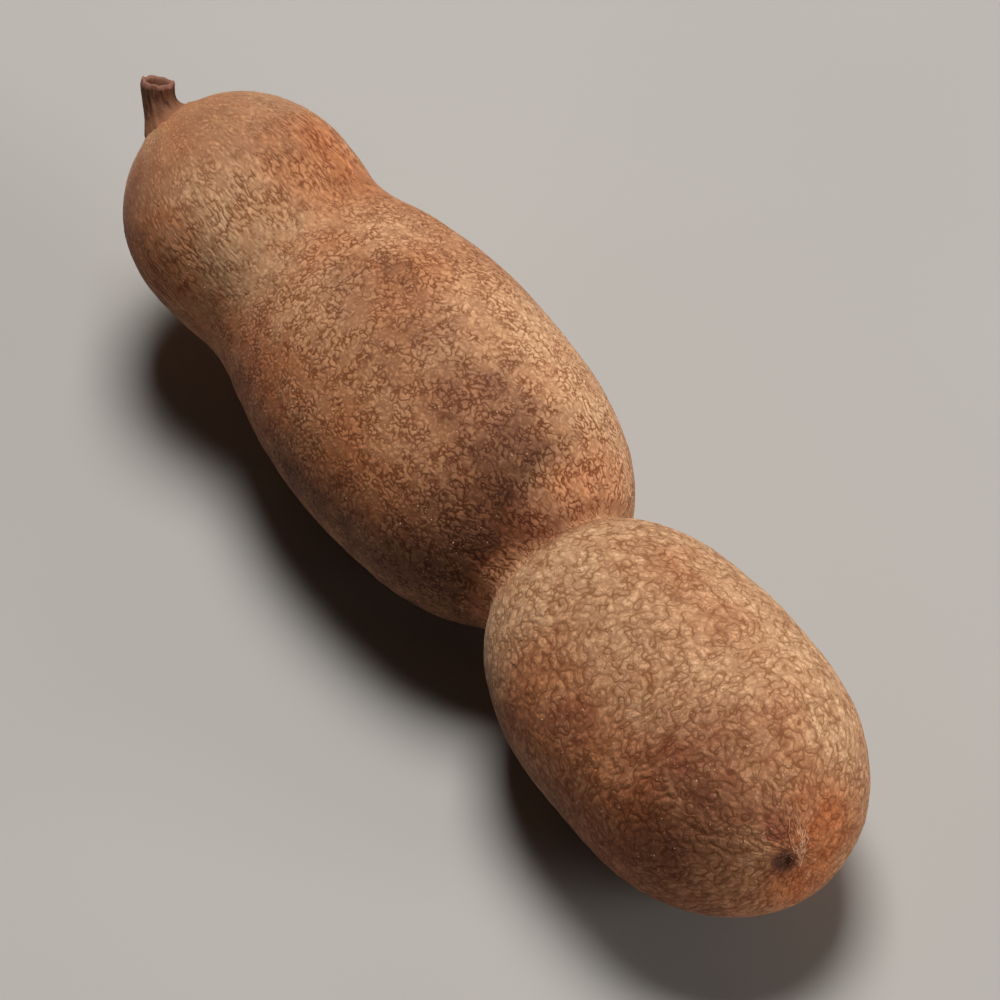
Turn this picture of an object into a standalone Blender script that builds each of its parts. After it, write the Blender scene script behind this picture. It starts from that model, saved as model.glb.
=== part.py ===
"""A ripe tamarind pod, picked and lying on its side, with a broken stub of its stalk.

The pod lies along X: the stalk at -X, the blunt tip with its style scar at +X. Its shell grew as
one swollen body of three lobes: a small shoulder at the stalk, a long middle lobe and, past a tight
waist, an egg-shaped end lobe. It rests on the middle and end lobes, which are slightly flattened
where they touch. The origin is on the resting surface, at the middle of the object's bounding box.
"""

import math
from typing import NamedTuple

import bmesh
import bpy
import numpy as np
from mathutils import Matrix, Vector

MM = 0.001


class Egg(NamedTuple):
    """A lobe about the spine. Its ends round over as an ellipse at a bluntness of 2."""

    at: float  # station of its widest section
    back: float  # reach towards the stalk
    front: float  # reach towards the tip
    radius: float
    bluntness: float


# Stations are distances along X from the neck, where the stalk joins the shell.
POD_LENGTH = 77.2 * MM
SHOULDER = Egg(at=8.3 * MM, back=8.4 * MM, front=15.6 * MM, radius=8.9 * MM, bluntness=2.0)
MIDDLE = Egg(at=30.3 * MM, back=22.0 * MM, front=18.6 * MM, radius=11.2 * MM, bluntness=2.25)
END = Egg(at=62.4 * MM, back=18.0 * MM, front=14.8 * MM, radius=10.7 * MM, bluntness=2.7)
WAIST_CORE = Egg(at=35.3 * MM, back=30.0 * MM, front=30.0 * MM, radius=6.3 * MM, bluntness=6.0)
STYLE_SCAR = Egg(at=75.6 * MM, back=3.0 * MM, front=2.1 * MM, radius=1.5 * MM, bluntness=2.0)
NECK_RADIUS = 1.9 * MM

# How widely neighbouring lobes melt into each other.
SHOULDER_BLEND = 1.6 * MM
WAIST_BLEND = 0.4 * MM
CORE_BLEND = 0.5 * MM
SCAR_BLEND = 0.7 * MM
NECK_BLEND = 1.2 * MM

MIDDLE_LEAN = 0.8 * MM  # the middle lobe bulges to +Y, which nicks the outline behind the shoulder
WIDTH_SHARE = 1.02  # sections are a little wider than they are tall
HEIGHT_SHARE = 0.97
CONTACT_DEPTH = 0.3 * MM  # how far the shell is flattened where it touches

# The spine is straight over the lobes it rests on, and both ends curl.
HOOK_FROM = 22.5 * MM
HOOK_SIDE = -2.0 * MM
HOOK_RISE = 5.5 * MM
TIP_CURL_FROM = 63.5 * MM
TIP_SIDE = -0.9 * MM
TIP_RISE = 3.1 * MM

# The stalk stub bends up and to +Y as it leaves the neck. Its broken end is hollow.
STALK_GAP = 0.3 * MM
STALK_LENGTH = 2.8 * MM
STALK_RADII = tuple(radius * MM for radius in (1.9, 1.6, 1.36, 1.26, 1.23, 1.26, 1.2))
STALK_SWING = math.radians(36)
STALK_LIFT = math.radians(37)
STALK_HOLLOW_RADIUS = 0.62 * MM
STALK_HOLLOW_DEPTH = 0.7 * MM

RING_COUNT = 66
RING_SIDES = 40
END_CROWDING = 0.55  # 0 spaces the rings evenly, 1 crowds them fully towards the two ends
STALK_SIDES = 16
SMOOTH_ANGLE = math.radians(40)


def clear_scene():
    for obj in list(bpy.data.objects):
        bpy.data.objects.remove(obj, do_unlink=True)


def make_material(name, colour, roughness):
    material = bpy.data.materials.new(name)
    material.use_nodes = True
    shader = material.node_tree.nodes["Principled BSDF"]
    shader.inputs["Base Color"].default_value = (*colour, 1.0)
    shader.inputs["Roughness"].default_value = roughness
    shader.inputs["Metallic"].default_value = 0.0
    return material


def smooth_max(first, second, width):
    """The larger of two radii, rounded over where they are within width of each other."""
    share = np.clip(0.5 + 0.5 * (first - second) / width, 0.0, 1.0)
    return second * (1 - share) + first * share + width * share * (1 - share)


def egg_radius(egg, station):
    """The radius of a lobe at a station, zero past its ends."""
    reach = egg.back if station < egg.at else egg.front
    along = min(abs(station - egg.at) / reach, 1.0)
    return egg.radius * math.sqrt(1 - along**egg.bluntness)


def leaning_radii(radius, lean, angle):
    """Distances from the spine to a circle of this radius whose centre lies lean to +Y of it."""
    if radius <= lean:
        return np.zeros_like(angle)
    return lean * np.cos(angle) + np.sqrt(radius**2 - (lean * np.sin(angle)) ** 2)


def section_radii(station, angle):
    """The shell's radii about the spine at one station, at each angle from +Y towards +Z."""
    middle = leaning_radii(egg_radius(MIDDLE, station), MIDDLE_LEAN, angle)
    radii = smooth_max(egg_radius(SHOULDER, station), middle, SHOULDER_BLEND)
    radii = smooth_max(radii, egg_radius(END, station), WAIST_BLEND)
    radii = smooth_max(radii, egg_radius(WAIST_CORE, station), CORE_BLEND)
    radii = smooth_max(radii, egg_radius(STYLE_SCAR, station), SCAR_BLEND)
    neck = NECK_RADIUS * max(1 - station / SHOULDER.at, 0.0)
    return smooth_max(radii, neck, NECK_BLEND)


def curl(start, stop, station):
    """0 up to start, then growing as a square to 1 at stop."""
    return max((station - start) / (stop - start), 0.0) ** 2


def spine_point(station):
    """The spine's point at a station, with z measured from the resting surface."""
    middle_height = MIDDLE.radius * HEIGHT_SHARE - CONTACT_DEPTH
    end_height = END.radius * HEIGHT_SHARE - CONTACT_DEPTH
    slope = (end_height - middle_height) / (END.at - MIDDLE.at)
    hook = curl(HOOK_FROM, 0.0, station)
    tip = curl(TIP_CURL_FROM, POD_LENGTH, station)
    y = HOOK_SIDE * hook + TIP_SIDE * tip
    z = middle_height + slope * (station - MIDDLE.at) + HOOK_RISE * hook + TIP_RISE * tip
    return np.array([station, y, z])


def spine_frame(station):
    """Unit vectors along the spine, level to its +Y side, and upward across it."""
    step = 0.01 * MM
    along = spine_point(station + step) - spine_point(station - step)
    along = along / np.linalg.norm(along)
    level = np.cross((0.0, 0.0, 1.0), along)
    level = level / np.linalg.norm(level)
    return along, level, np.cross(along, level)


def ring_stations():
    """Stations from the neck to the tip, closer together where the ends round over."""
    share = np.linspace(0.0, 1.0, RING_COUNT)
    crowded = 0.5 - 0.5 * np.cos(math.pi * share)
    return POD_LENGTH * (END_CROWDING * crowded + (1 - END_CROWDING) * share)


def shell_ring(station):
    """The points of one section, with those below the resting surface pressed flat onto it."""
    angle = np.arange(RING_SIDES) * 2 * math.pi / RING_SIDES
    _, level, upward = spine_frame(station)
    radii = section_radii(station, angle)
    sideways = np.outer(radii * np.cos(angle) * WIDTH_SHARE, level)
    rising = np.outer(radii * np.sin(angle) * HEIGHT_SHARE, upward)
    points = spine_point(station) + sideways + rising
    points[:, 2] = np.maximum(points[:, 2], 0.0)
    return points


def stalk_ring(centre, level, upward, radius):
    angles = (2 * math.pi * index / STALK_SIDES for index in range(STALK_SIDES))
    return [centre + (level * math.cos(angle) + upward * math.sin(angle)) * radius for angle in angles]


def add_ring(mesh, points):
    return [mesh.verts.new(point) for point in points]


def bridge_rings(mesh, rings):
    """Quads between each ring and the next."""
    for first, second in zip(rings, rings[1:]):
        for index in range(len(first)):
            after = (index + 1) % len(first)
            mesh.faces.new((first[index], first[after], second[after], second[index]))


def close_ring(mesh, ring, apex_point):
    """A fan of triangles from an end ring to its apex."""
    apex = mesh.verts.new(apex_point)
    for index, vertex in enumerate(ring):
        mesh.faces.new((apex, vertex, ring[(index + 1) % len(ring)]))


def finish_object(name, mesh, material):
    bmesh.ops.recalc_face_normals(mesh, faces=mesh.faces)
    data = bpy.data.meshes.new(name)
    mesh.to_mesh(data)
    mesh.free()
    data.materials.append(material)
    data.shade_smooth()
    data.set_sharp_from_angle(angle=SMOOTH_ANGLE)
    obj = bpy.data.objects.new(name, data)
    bpy.context.scene.collection.objects.link(obj)
    return obj


def build_pod():
    """The shell: rings along the spine from the flat neck to the tip."""
    mesh = bmesh.new()
    rings = [add_ring(mesh, shell_ring(station)) for station in ring_stations()[:-1]]
    bridge_rings(mesh, rings)
    close_ring(mesh, rings[0], spine_point(0.0))
    close_ring(mesh, rings[-1], spine_point(POD_LENGTH))
    return finish_object("pod", mesh, make_material("shell_brown", (0.37, 0.19, 0.105), 0.8))


def build_stalk():
    """The stub: rings that leave the neck square on and bend away, then the broken end's hollow."""
    along, level, upward = (Vector(axis) for axis in spine_frame(0.0))
    base = Vector(spine_point(0.0)) - along * STALK_GAP
    mesh = bmesh.new()
    rings = []
    centre = base
    last = len(STALK_RADII) - 1
    for index, radius in enumerate(STALK_RADII):
        swing = Matrix.Rotation(-STALK_SWING * index / last, 3, upward)
        turn = swing @ Matrix.Rotation(STALK_LIFT * index / last, 3, level)
        if index > 0:
            centre = centre - (turn @ along) * (STALK_LENGTH / last)
        rings.append(add_ring(mesh, stalk_ring(centre, turn @ level, turn @ upward, radius)))
    rings.append(add_ring(mesh, stalk_ring(centre, turn @ level, turn @ upward, STALK_HOLLOW_RADIUS)))
    bridge_rings(mesh, rings)
    close_ring(mesh, rings[0], base)
    close_ring(mesh, rings[-1], centre + (turn @ along) * STALK_HOLLOW_DEPTH)
    return finish_object("stalk", mesh, make_material("stalk_brown", (0.22, 0.12, 0.07), 0.85))


def centre_on_origin(objects):
    """Moves every mesh so that the whole object's box is centred over the origin, on z = 0."""
    corners = [vertex.co for obj in objects for vertex in obj.data.vertices]
    low = Vector([min(corner[axis] for corner in corners) for axis in range(3)])
    high = Vector([max(corner[axis] for corner in corners) for axis in range(3)])
    middle = (low + high) / 2
    for obj in objects:
        obj.data.transform(Matrix.Translation((-middle.x, -middle.y, -low.z)))


def main():
    clear_scene()
    centre_on_origin([build_pod(), build_stalk()])


main()
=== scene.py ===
"""The looks of a ripe tamarind pod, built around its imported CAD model.

The pod's shell is one swollen, scurfy skin, finely crackled all over and drawn in at a tight waist.
A broken stub of stalk leaves one end. At the other a few pale fibres run into the small dark scar
that the flower's style left. Lengths are in metres, in the frame of the CAD model, unless a class
says otherwise.
"""

import logging
import math
from dataclasses import dataclass, fields, replace
from enum import Enum
from typing import Callable, Mapping, Optional, Sequence, Union

import bmesh
import bpy
import numpy as np
from bmesh.types import BMesh, BMVert
from bpy.types import ID, Material, Mesh, NodeSocket, NodeTree, Object, bpy_prop_collection
from mathutils import Matrix, Vector, noise


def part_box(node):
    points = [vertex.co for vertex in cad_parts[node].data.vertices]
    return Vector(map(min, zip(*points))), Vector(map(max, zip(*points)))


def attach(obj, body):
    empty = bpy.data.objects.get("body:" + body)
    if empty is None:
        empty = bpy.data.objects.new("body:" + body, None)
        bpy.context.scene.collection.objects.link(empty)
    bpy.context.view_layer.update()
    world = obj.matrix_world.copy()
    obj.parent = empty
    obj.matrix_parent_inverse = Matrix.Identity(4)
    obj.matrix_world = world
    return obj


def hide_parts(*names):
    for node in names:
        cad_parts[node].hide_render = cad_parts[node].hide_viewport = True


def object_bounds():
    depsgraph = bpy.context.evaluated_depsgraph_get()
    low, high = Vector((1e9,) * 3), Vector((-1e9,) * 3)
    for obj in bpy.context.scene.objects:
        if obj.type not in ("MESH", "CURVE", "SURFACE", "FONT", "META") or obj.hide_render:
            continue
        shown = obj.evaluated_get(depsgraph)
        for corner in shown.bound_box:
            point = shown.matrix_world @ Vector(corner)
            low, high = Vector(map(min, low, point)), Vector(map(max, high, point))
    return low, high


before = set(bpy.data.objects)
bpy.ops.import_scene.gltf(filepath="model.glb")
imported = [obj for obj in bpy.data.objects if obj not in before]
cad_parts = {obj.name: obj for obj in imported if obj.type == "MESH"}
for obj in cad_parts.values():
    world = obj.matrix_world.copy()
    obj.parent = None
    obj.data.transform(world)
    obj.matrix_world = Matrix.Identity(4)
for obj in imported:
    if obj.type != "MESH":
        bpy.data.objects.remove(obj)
CAD_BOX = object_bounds()

MM = 0.001
BODY = "root"
SKIN = "skin"  # the shell's attribute that its patterns follow
GIRTH = "girth"  # the shell's attribute for the distance from its spine
TURN = "turn"  # the shell's attribute for the turn about its spine, only while it is built
GRAIN = "grain"  # the stalk's attribute that its patterns follow
BAKE_MAP = "OFBake"

Colour = tuple[float, float, float]
Key = Union[int, str]
Amount = Union[float, "Signal"]
Triple = tuple[Amount, Amount, Amount]

log = logging.getLogger("tamarind")


# --- Objects ---


def placed(name: str, data: ID) -> Object:
    """Puts data into the scene.

    Args:
        name: The name of the new object.
        data: Its mesh, light or camera.

    Returns:
        The object, at the origin.
    """
    made = bpy.data.objects.new(name, data)
    bpy.context.scene.collection.objects.link(made)
    return made


def solid(name: str, mesh: BMesh, finish: Material) -> Object:
    """Turns built faces into an object.

    Args:
        name: The name of the new object.
        mesh: The faces. They are used up.
        finish: The object's material.

    Returns:
        The object, with its faces turned outwards.
    """
    bmesh.ops.recalc_face_normals(mesh, faces=mesh.faces)
    data = bpy.data.meshes.new(name)
    mesh.to_mesh(data)
    mesh.free()
    data.materials.append(finish)
    return placed(name, data)


def on_root(piece: Object, node: str) -> Object:
    """Lets a piece ride on the pod's one body and stand for a node.

    Args:
        piece: The finished piece.
        node: The CAD node that it stands for.

    Returns:
        The piece, smoothly shaded.
    """
    piece.data.shade_smooth()
    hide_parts(node)
    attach(piece, BODY)
    log.info("%s: %d faces", piece.name, len(piece.data.polygons))
    return piece


# --- Node trees, written as arithmetic ---


def arithmetic(operation: str, swapped: bool = False) -> Callable[["Signal", object], "Signal"]:
    """Writes the method behind one of Python's operators.

    Args:
        operation: The name of a Math or Vector Math operation.
        swapped: Whether the signal is the second operand.

    Returns:
        The method.
    """

    def method(signal: "Signal", other: object) -> "Signal":
        """Adds one node of arithmetic."""
        return signal.join(operation, *((other, signal) if swapped else (signal, other)))

    return method


class Signal:
    """A node's output that takes part in Python arithmetic by adding Math or Vector Math nodes."""

    def __init__(self, graph: "Graph", socket: NodeSocket) -> None:
        """Wraps an output of a graph."""
        self.graph, self.socket = graph, socket

    __add__ = __radd__ = arithmetic("ADD")
    __mul__ = __rmul__ = arithmetic("MULTIPLY")
    __sub__, __rsub__ = arithmetic("SUBTRACT"), arithmetic("SUBTRACT", swapped=True)
    __truediv__, __rtruediv__ = arithmetic("DIVIDE"), arithmetic("DIVIDE", swapped=True)
    __pow__ = arithmetic("POWER")

    @property
    def is_vector(self) -> bool:
        """Whether the output holds three numbers."""
        return self.socket.type in ("VECTOR", "RGBA")

    def join(self, operation: str, *operands: object, output: Key = 0) -> "Signal":
        """Adds one node of arithmetic.

        Args:
            operation: The name of a Math or Vector Math operation.
            operands: The values and signals that it takes, in order.
            output: The output to return.

        Returns:
            The result. It is a vector if any operand is one, apart from lengths and the like.
        """
        vectors = [x.is_vector if isinstance(x, Signal) else isinstance(x, tuple) for x in operands]
        kind = "ShaderNodeVectorMath" if any(vectors) else "ShaderNodeMath"
        return self.graph.add(kind, dict(enumerate(operands)), output, operation=operation)

    def ramp(self, start: Amount, stop: Amount, low: Amount = 0.0, high: Amount = 1.0) -> "Signal":
        """Eases from one number to another, and stays level outside.

        Args:
            start: Where it starts to ease.
            stop: Where it has arrived.
            low: The number up to start.
            high: The number from stop on.

        Returns:
            The eased number.
        """
        ends = {"From Min": start, "From Max": stop, "To Min": low, "To Max": high}
        return self.graph.add(
            "ShaderNodeMapRange", {"Value": self, **ends}, interpolation_type="SMOOTHSTEP"
        )

    def length(self) -> "Signal":
        """The length of a vector."""
        return self.join("LENGTH", self, output="Value")

    def parts(self) -> Triple:
        """The three numbers of a vector."""
        node = self.graph.add("ShaderNodeSeparateXYZ", {"Vector": self}).socket.node
        return tuple(Signal(self.graph, socket) for socket in node.outputs)


class Graph:
    """A node tree that takes all its nodes through one method."""

    def __init__(self, tree: NodeTree) -> None:
        """Starts on a shader or geometry tree."""
        self.tree = tree

    @staticmethod
    def pick(sockets: Sequence[NodeSocket], key: Key) -> NodeSocket:
        """Finds a socket by its place, or by its name or identifier among those in use."""
        named = (x for x in sockets if x.enabled and key in (x.name, x.identifier))
        return sockets[key] if isinstance(key, int) else next(named)

    def add(
        self, kind: str, inputs: Mapping[Key, object], output: Key = 0, **settings: object
    ) -> Signal:
        """Adds a node.

        Args:
            kind: The node's type.
            inputs: The value of, or the signal into, each input that isn't left as it is.
            output: The output to return.
            settings: The node's own properties, which are set before its inputs.

        Returns:
            One output of the node.
        """
        node = self.tree.nodes.new(kind)
        for name, value in settings.items():
            setattr(node, name, value)
        for key, value in inputs.items():
            self.feed(self.pick(node.inputs, key), value)
        return Signal(self, self.pick(node.outputs, output))

    def feed(self, socket: NodeSocket, value: object) -> None:
        """Links a signal to an input, or sets the input's own value.

        Args:
            socket: The input.
            value: The signal or the value.
        """
        if isinstance(value, Signal):
            self.tree.links.new(value.socket, socket)
        elif socket.type == "VECTOR" and isinstance(value, (int, float)):
            socket.default_value = (value,) * 3
        elif socket.type == "RGBA":
            socket.default_value = (*value[:3], 1.0)
        else:
            socket.default_value = value

    def vector(self, x: Amount, y: Amount, z: Amount) -> Signal:
        """Three numbers as one vector."""
        return self.add("ShaderNodeCombineXYZ", {0: x, 1: y, 2: z})

    def tint(self, share: Amount, start: object, end: object, blend: str = "MIX") -> Signal:
        """Blends two colours.

        Args:
            share: How much of the second colour there is.
            start: The first colour.
            end: The second colour.
            blend: The Mix node's way of blending.

        Returns:
            The blended colour.
        """
        sockets = {"Factor_Float": share, "A_Color": start, "B_Color": end}
        settings = {"data_type": "RGBA", "blend_type": blend}
        return self.add("ShaderNodeMix", sockets, "Result_Color", **settings)

    def cloud(
        self, place: Signal, size: float, detail: float = 2.0, roughness: float = 0.5
    ) -> Signal:
        """Soft noise from 0 to 1, with swells of a size and layers of finer detail."""
        layers = {"Detail": detail, "Roughness": roughness}
        return self.add("ShaderNodeTexNoise", {"Vector": place, "Scale": 1 / size, **layers})

    def stirred(self, place: Signal, size: float, reach: float) -> Signal:
        """Moves a place about by noise, so that what is drawn on it wavers."""
        sockets = {"Vector": place, "Scale": 1 / size, "Detail": 2.0}
        return place + (self.add("ShaderNodeTexNoise", sockets, "Color") - 0.5) * (2 * reach)

    def cell_edge(self, place: Signal, size: float) -> Signal:
        """How far a point lies from the edge of its cell, in shares of a cell."""
        sockets = {"Vector": place, "Scale": 1 / size, "Randomness": 0.95}
        return self.add("ShaderNodeTexVoronoi", sockets, "Distance", feature="DISTANCE_TO_EDGE")


class GeometryGraph(Graph):
    """A geometry node tree with named inputs, which is run once to make a plain mesh."""

    def __init__(self, name: str) -> None:
        """Makes an empty tree.

        Args:
            name: The tree's name.
        """
        super().__init__(bpy.data.node_groups.new(name, "GeometryNodeTree"))
        for way in ("INPUT", "OUTPUT"):
            self.tree.interface.new_socket("Geometry", in_out=way, socket_type="NodeSocketGeometry")
        self.source = self.tree.nodes.new("NodeGroupInput")
        self.sink = self.tree.nodes.new("NodeGroupOutput")
        self.values: dict[str, float] = {}

    def geometry(self) -> Signal:
        """The mesh that the tree is run on."""
        return Signal(self, self.source.outputs["Geometry"])

    def size(self, name: str, value: float) -> Signal:
        """Adds a named input.

        Args:
            name: The input's name.
            value: Its value, a whole number for a count.

        Returns:
            The input.
        """
        kind = "NodeSocketInt" if isinstance(value, int) else "NodeSocketFloat"
        socket = self.tree.interface.new_socket(name, in_out="INPUT", socket_type=kind)
        self.values[socket.identifier] = value
        return Signal(self, self.source.outputs[name])

    def keep(self, geometry: Signal, name: str, value: Signal) -> Signal:
        """Stores a number or a vector with every point of a mesh."""
        settings = {"data_type": "FLOAT_VECTOR" if value.is_vector else "FLOAT", "domain": "POINT"}
        return self.place(geometry, "StoreNamedAttribute", Name=name, Value=value, **settings)

    def place(self, geometry: Signal, kind: str = "SetPosition", **values: object) -> Signal:
        """Changes a mesh by one geometry node.

        Args:
            geometry: The mesh.
            kind: The node's type, without what all such types start with.
            values: Its inputs, which start with a capital, and its settings.

        Returns:
            The changed mesh.
        """
        inputs = {name: value for name, value in values.items() if name[0].isupper()}
        settings = {name: value for name, value in values.items() if name not in inputs}
        return self.add("GeometryNode" + kind, {"Geometry": geometry, **inputs}, **settings)

    def chance(self, item: Signal, least: float, most: float, seed: int) -> Signal:
        """A random number for each item, the same in every run."""
        sockets = {"Min": least, "Max": most, "ID": item, "Seed": seed}
        return self.add("FunctionNodeRandomValue", sockets, "Value", data_type="FLOAT")

    def make(
        self,
        name: str,
        result: Signal,
        finish: Material,
        start: Optional[Mesh] = None,
    ) -> Object:
        """Runs the tree.

        Args:
            name: The name of the object to make.
            result: The geometry to make it from.
            finish: Its material.
            start: The mesh to run the tree on, if it needs one.

        Returns:
            The object, with a plain mesh and no modifier.
        """
        dressed = self.place(self.place(result, "RealizeInstances"), "SetMaterial", Material=finish)
        self.feed(self.sink.inputs["Geometry"], dressed)
        made = placed(name, start or bpy.data.meshes.new(name))
        modifier = made.modifiers.new(name, "NODES")
        modifier.node_group = self.tree
        for identifier, value in self.values.items():
            modifier[identifier] = value
        depsgraph = bpy.context.evaluated_depsgraph_get()
        mesh = bpy.data.meshes.new_from_object(
            made.evaluated_get(depsgraph), preserve_all_data_layers=True, depsgraph=depsgraph
        )
        made.modifiers.remove(modifier)
        made.data = mesh
        mesh.name = name
        mesh.materials.clear()
        mesh.materials.append(finish)
        mesh.polygons.foreach_set("material_index", np.zeros(len(mesh.polygons), np.int32))
        return made


def either(operation: str, plain: Callable[..., float]) -> Callable[..., Amount]:
    """Writes a function on signals and plain numbers.

    Args:
        operation: The name of the Math operation for signals.
        plain: The same function for plain numbers.

    Returns:
        The function. It adds a node if any operand is a signal, and else works out a number.
    """

    def work(*operands: Amount) -> Amount:
        """Adds the node, or works out the number."""
        signal = next((x for x in operands if isinstance(x, Signal)), None)
        return signal.join(operation, *operands) if signal else plain(*operands)

    return work


larger, smaller = either("MAXIMUM", max), either("MINIMUM", min)
root, without_sign = either("SQRT", math.sqrt), either("ABSOLUTE", abs)
cosine, sine = either("COSINE", math.cos), either("SINE", math.sin)
exceeds = either("GREATER_THAN", lambda first, second: float(first > second))


def melted(first: Amount, second: Amount, width: Amount) -> Amount:
    """The larger of two radii, rounded over where they are within width of each other."""
    share = smaller(larger(0.5 + 0.5 * (first - second) / width, 0.0), 1.0)
    return second * (1 - share) + first * share + width * share * (1 - share)


def curl(start: Amount, stop: Amount, station: Amount) -> Amount:
    """0 up to start, then growing as a square to 1 at stop."""
    return larger((station - start) / (stop - start), 0.0) ** 2


def curl_slope(start: Amount, stop: Amount, station: Amount) -> Amount:
    """How fast curl grows along the spine."""
    return 2 * larger((station - start) / (stop - start), 0.0) / (stop - start)


# --- The shell's form, the same rule as the CAD model's ---


@dataclass(frozen=True)
class Egg:
    """A lobe about the spine. Its ends round over as an ellipse at a bluntness of 2."""

    at: Amount
    back: Amount
    front: Amount
    radius: Amount
    bluntness: Amount

    def radius_at(self, station: Amount) -> Amount:
        """The lobe's radius.

        Args:
            station: Where along the spine.

        Returns:
            The radius there, zero past the lobe's ends.
        """
        reach = self.back + (self.front - self.back) * exceeds(station, self.at)
        return self.radius * root(
            1 - smaller(without_sign(station - self.at) / reach, 1.0) ** self.bluntness
        )


@dataclass(frozen=True)
class ShellForm:
    """The rule that the shell follows: round sections along a curled spine.

    A station is a distance along X from the neck. An angle turns about the spine from +Y to +Z.
    """

    length: Amount = 77.2 * MM
    shoulder: Egg = Egg(8.3 * MM, 8.4 * MM, 15.6 * MM, 8.9 * MM, 2.0)
    middle: Egg = Egg(30.3 * MM, 22.0 * MM, 18.6 * MM, 11.2 * MM, 2.25)
    end: Egg = Egg(62.4 * MM, 18.0 * MM, 14.8 * MM, 10.7 * MM, 2.7)
    waist_core: Egg = Egg(35.3 * MM, 30.0 * MM, 30.0 * MM, 6.3 * MM, 6.0)
    style_scar: Egg = Egg(75.6 * MM, 3.0 * MM, 2.1 * MM, 1.5 * MM, 2.0)
    neck_radius: Amount = 1.9 * MM
    shoulder_blend: Amount = 1.6 * MM
    waist_blend: Amount = 0.4 * MM
    core_blend: Amount = 0.5 * MM
    scar_blend: Amount = 0.7 * MM
    neck_blend: Amount = 1.2 * MM
    middle_lean: Amount = 0.8 * MM
    width_share: Amount = 1.02
    height_share: Amount = 0.97
    contact_depth: Amount = 0.3 * MM
    hook_from: Amount = 22.5 * MM
    hook_side: Amount = -2.0 * MM
    hook_rise: Amount = 5.5 * MM
    tip_curl_from: Amount = 63.5 * MM
    tip_side: Amount = -0.9 * MM
    tip_rise: Amount = 3.1 * MM
    seat_x: Amount = 0.0
    seat_y: Amount = 0.0

    def radius_at(self, station: Amount, angle: Amount) -> Amount:
        """The shell's radius about its spine.

        Args:
            station: Where along the spine.
            angle: Where about the spine.

        Returns:
            The radius, before the section is widened and lowered.
        """
        plain = self.middle.radius_at(station)
        half_chord = root(larger(plain**2 - (self.middle_lean * sine(angle)) ** 2, 0.0))
        leaning = (self.middle_lean * cosine(angle) + half_chord) * exceeds(plain, self.middle_lean)
        radius = melted(self.shoulder.radius_at(station), leaning, self.shoulder_blend)
        radius = melted(radius, self.end.radius_at(station), self.waist_blend)
        radius = melted(radius, self.waist_core.radius_at(station), self.core_blend)
        radius = melted(radius, self.style_scar.radius_at(station), self.scar_blend)
        neck = self.neck_radius * larger(1 - station / self.shoulder.at, 0.0)
        return melted(radius, neck, self.neck_blend)

    def heights(self) -> tuple[Amount, Amount]:
        """How high the spine lies, and how it climbs.

        Returns:
            Its height over the resting surface at the middle lobe, and its climb towards the tip.
        """
        middle = self.middle.radius * self.height_share - self.contact_depth
        end = self.end.radius * self.height_share - self.contact_depth
        return middle, (end - middle) / (self.end.at - self.middle.at)

    def spine(self, station: Amount) -> Triple:
        """The spine's course.

        Args:
            station: Where along the spine.

        Returns:
            The spine's point there.
        """
        height, climb = self.heights()
        hook = curl(self.hook_from, 0.0, station)
        tip = curl(self.tip_curl_from, self.length, station)
        y = self.hook_side * hook + self.tip_side * tip
        z = height + climb * (station - self.middle.at)
        z = z + self.hook_rise * hook + self.tip_rise * tip
        return station + self.seat_x, y + self.seat_y, z

    def axes(self, station: Amount) -> tuple[Triple, Triple, Triple]:
        """The directions that a section is drawn in.

        Args:
            station: Where along the spine.

        Returns:
            Unit vectors along the spine, level to its +Y side, and upward across it.
        """
        _, climb = self.heights()
        hook = curl_slope(self.hook_from, 0.0, station)
        tip = curl_slope(self.tip_curl_from, self.length, station)
        y = self.hook_side * hook + self.tip_side * tip
        z = climb + self.hook_rise * hook + self.tip_rise * tip
        whole = root(1 + y**2 + z**2)
        flat = root(1 + y**2)
        along = (1 / whole, y / whole, z / whole)
        level = (-1 * y / flat, 1 / flat, 0.0)
        upward = (-1 * along[2] * level[1], along[2] * level[0], flat / whole)
        return along, level, upward

    def surface(self, station: Amount, angle: Amount, share: Amount = 1.0) -> Triple:
        """A point of the shell.

        Args:
            station: Where along the spine.
            angle: Where about the spine.
            share: How far out the point is, from 0 on the spine to 1 on the shell.

        Returns:
            The point, before the shell is pressed flat where it rests.
        """
        _, level, upward = self.axes(station)
        radius = self.radius_at(station, angle) * share
        sideways = radius * cosine(angle) * self.width_share
        rising = radius * sine(angle) * self.height_share
        centre = self.spine(station)
        return tuple(c + sideways * a + rising * b for c, a, b in zip(centre, level, upward))

    def seated(self, low: Vector) -> "ShellForm":
        """The same form, moved to where the CAD model's shell lies.

        Args:
            low: The lowest corner of the CAD model's shell.

        Returns:
            The moved form.
        """
        stations = np.linspace(0.0, self.length, 120)
        angles = np.linspace(0.0, 2 * math.pi, 73)
        points = [self.surface(float(x), float(turn)) for x in stations for turn in angles]
        mine = np.array(points).min(axis=0)
        return replace(self, seat_x=low.x - float(mine[0]), seat_y=low.y - float(mine[1]))

    def as_inputs(self, graph: GeometryGraph) -> "ShellForm":
        """The same form for a tree.

        Args:
            graph: The tree.

        Returns:
            The form, with every size a named input of the tree.
        """

        def exposed(form: object, label: str = "") -> object:
            """Makes every size of a form or a lobe an input.

            Args:
                form: The form or the lobe.
                label: What the inputs' names start with.

            Returns:
                The form or the lobe, with the inputs as its sizes.
            """
            sizes = {}
            for item in fields(form):
                value, name = getattr(form, item.name), label + item.name.replace("_", " ")
                if isinstance(value, Egg):
                    sizes[item.name] = exposed(value, name + " ")
                else:
                    sizes[item.name] = graph.size(name, float(value))
            return replace(form, **sizes)

        return exposed(self)

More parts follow.
